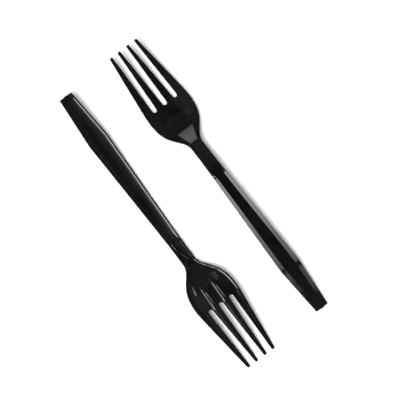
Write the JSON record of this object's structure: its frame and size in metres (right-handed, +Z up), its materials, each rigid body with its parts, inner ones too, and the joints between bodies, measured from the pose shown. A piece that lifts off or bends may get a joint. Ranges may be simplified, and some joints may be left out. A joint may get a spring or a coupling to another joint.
{
  "type": "plastic fork pair",
  "caption": "Black moulded plastic dining forks lying side by side, one face up and one face down, with tapered handles hollow beneath.",
  "frame": {"origin": "on the surface that the forks lie on, under the middle of the box around both of them", "axes": "+Y along the forks, the way the face-up fork's tines point; +X from the face-down fork to the face-up one; +Z up"},
  "size_m": [0.0696, 0.1816, 0.0127],
  "materials": {
    "black_plastic": "gloss"
  },
  "bodies": {
    "root": {"fork_face_up": "black_plastic", "fork_face_down": "black_plastic"}
  },
  "joints": []
}
